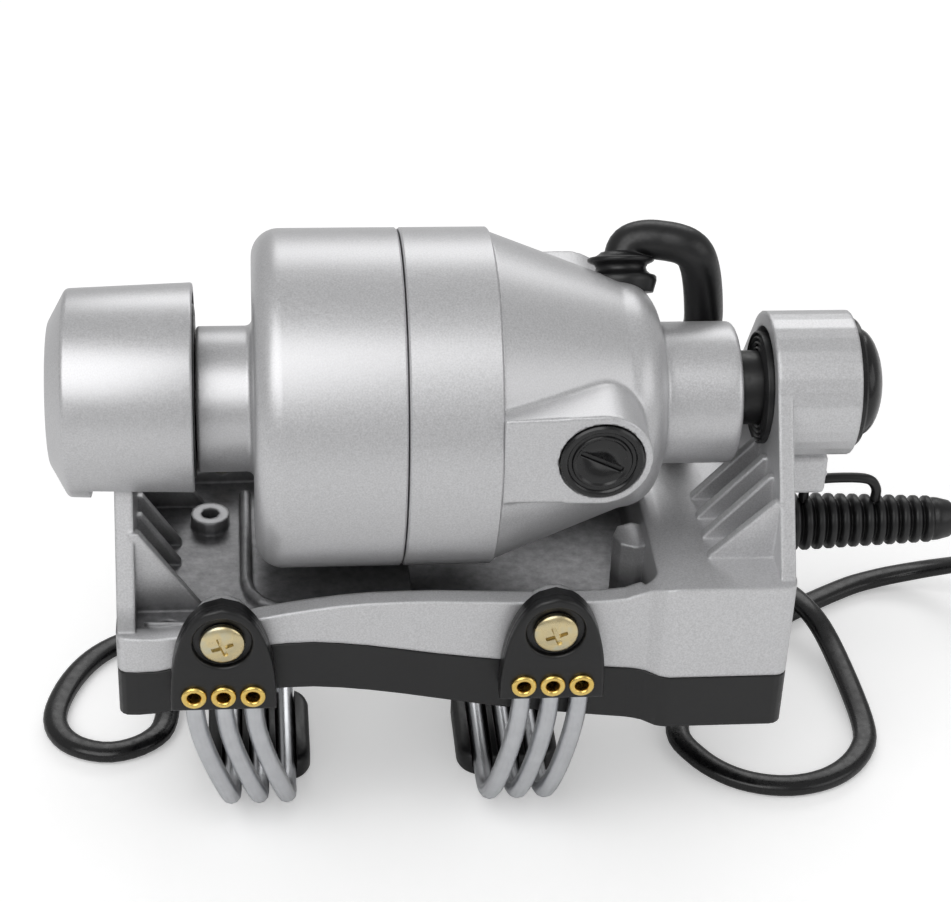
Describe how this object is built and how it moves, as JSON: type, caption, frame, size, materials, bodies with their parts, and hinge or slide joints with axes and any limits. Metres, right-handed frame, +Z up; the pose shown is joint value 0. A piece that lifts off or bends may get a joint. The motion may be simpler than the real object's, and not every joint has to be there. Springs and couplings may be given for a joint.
{
  "type": "handheld body massager",
  "caption": "Handheld vibrating massager: a motor hung on rubber in a cast cradle over a tray, with two hand straps of wound spring and a mains cord.",
  "frame": {"origin": "on the floor, in the middle under the machine without its cord", "axes": "-X towards the end with the large cap, +X towards the end with the cord, +Z up"},
  "size_m": [0.2582, 0.2135, 0.1405],
  "materials": {
    "cast_silver": "satin silver paint with a fine sparkle over die cast aluminium",
    "black_plastic": "satin moulded plastic",
    "black_rubber": "smooth soft rubber",
    "zinc_gold": "yellow passivated zinc plating on steel",
    "brass": "polished",
    "spring_steel": "bright plated spring wire",
    "bare_steel": "machined",
    "core_steel": "stacked sheet steel, dull",
    "copper": "enamelled copper",
    "carbon": "pressed carbon"
  },
  "bodies": {
    "cradle": {"cradle_frame": "cast_silver", "base_tray": "black_plastic", "front_cap": "cast_silver", "rear_plug": "black_plastic", "clamp_screw": "bare_steel", "motor_lead": "black_rubber", "strain_relief": "black_rubber", "mains_cord": "black_rubber", "cord_coil": "black_rubber", "mains_plug": "black_plastic", "front_near_screw": "zinc_gold", "front_far_screw": "zinc_gold", "rear_near_screw": "zinc_gold", "rear_far_screw": "zinc_gold"},
    "front_strap": {"front_near_tab": "black_rubber", "front_near_eyelet_a": "brass", "front_near_eyelet_b": "brass", "front_near_eyelet_c": "brass", "front_far_tab": "black_rubber", "front_far_eyelet_a": "brass", "front_far_eyelet_b": "brass", "front_far_eyelet_c": "brass", "front_spring_a": "spring_steel", "front_spring_b": "spring_steel", "front_spring_c": "spring_steel"},
    "front_pad_body": {"front_pad": "black_rubber"},
    "rear_strap": {"rear_near_tab": "black_rubber", "rear_near_eyelet_a": "brass", "rear_near_eyelet_b": "brass", "rear_near_eyelet_c": "brass", "rear_far_tab": "black_rubber", "rear_far_eyelet_a": "brass", "rear_far_eyelet_b": "brass", "rear_far_eyelet_c": "brass", "rear_spring_a": "spring_steel", "rear_spring_b": "spring_steel", "rear_spring_c": "spring_steel"},
    "rear_pad_body": {"rear_pad": "black_rubber"},
    "bushes": {"front_bush": "black_rubber", "rear_bush": "black_rubber"},
    "motor": {"motor_front_shell": "cast_silver", "motor_rear_shell": "cast_silver", "brush_cap_near": "black_plastic", "brush_cap_far": "black_plastic", "carbon_brush_near": "carbon", "carbon_brush_far": "carbon", "brush_spring_near": "spring_steel", "brush_spring_far": "spring_steel", "stator_core": "core_steel", "field_coil_upper": "copper", "field_coil_lower": "copper", "front_bearing": "bare_steel", "rear_bearing": "bare_steel"},
    "rotor": {"rotor_shaft": "bare_steel", "armature_core": "core_steel", "front_winding": "copper", "rear_winding": "copper", "eccentric_weight": "bare_steel", "commutator": "copper"}
  },
  "joints": [
    {"name": "motor_sway", "type": "slide", "parent": "cradle", "child": "bushes", "axis": [0, 1, 0], "range_m": [-0.001, 0.001], "stiffness_N_per_m": 12000, "deforming": ["front_bush", "rear_bush", "motor_lead"]},
    {"name": "motor_bounce", "type": "slide", "parent": "bushes", "child": "motor", "axis": [0, 0, 1], "range_m": [-0.001, 0.001], "stiffness_N_per_m": 12000, "deforming": ["front_bush", "rear_bush", "motor_lead"]},
    {"name": "rotor_spin", "type": "hinge", "parent": "motor", "child": "rotor", "pos_m": [0, 0, 0.1018], "axis": [1, 0, 0], "continuous": true},
    {"name": "front_strap_swing", "type": "hinge", "parent": "cradle", "child": "front_strap", "pos_m": [-0.0575, 0, 0.063], "axis": [0, 1, 0], "range_deg": [-8, 4]},
    {"name": "rear_strap_swing", "type": "hinge", "parent": "cradle", "child": "rear_strap", "pos_m": [0.0168, 0, 0.0657], "axis": [0, 1, 0], "range_deg": [-8, 8]},
    {"name": "front_strap_stretch", "type": "slide", "parent": "front_strap", "child": "front_pad_body", "axis": [0, 0, -1], "range_m": [0, 0.012], "stiffness_N_per_m": 2500, "deforming": ["front_spring_a", "front_spring_b", "front_spring_c"]},
    {"name": "rear_strap_stretch", "type": "slide", "parent": "rear_strap", "child": "rear_pad_body", "axis": [0, 0, -1], "range_m": [0, 0.012], "stiffness_N_per_m": 2500, "deforming": ["rear_spring_a", "rear_spring_b", "rear_spring_c"]}
  ]
}
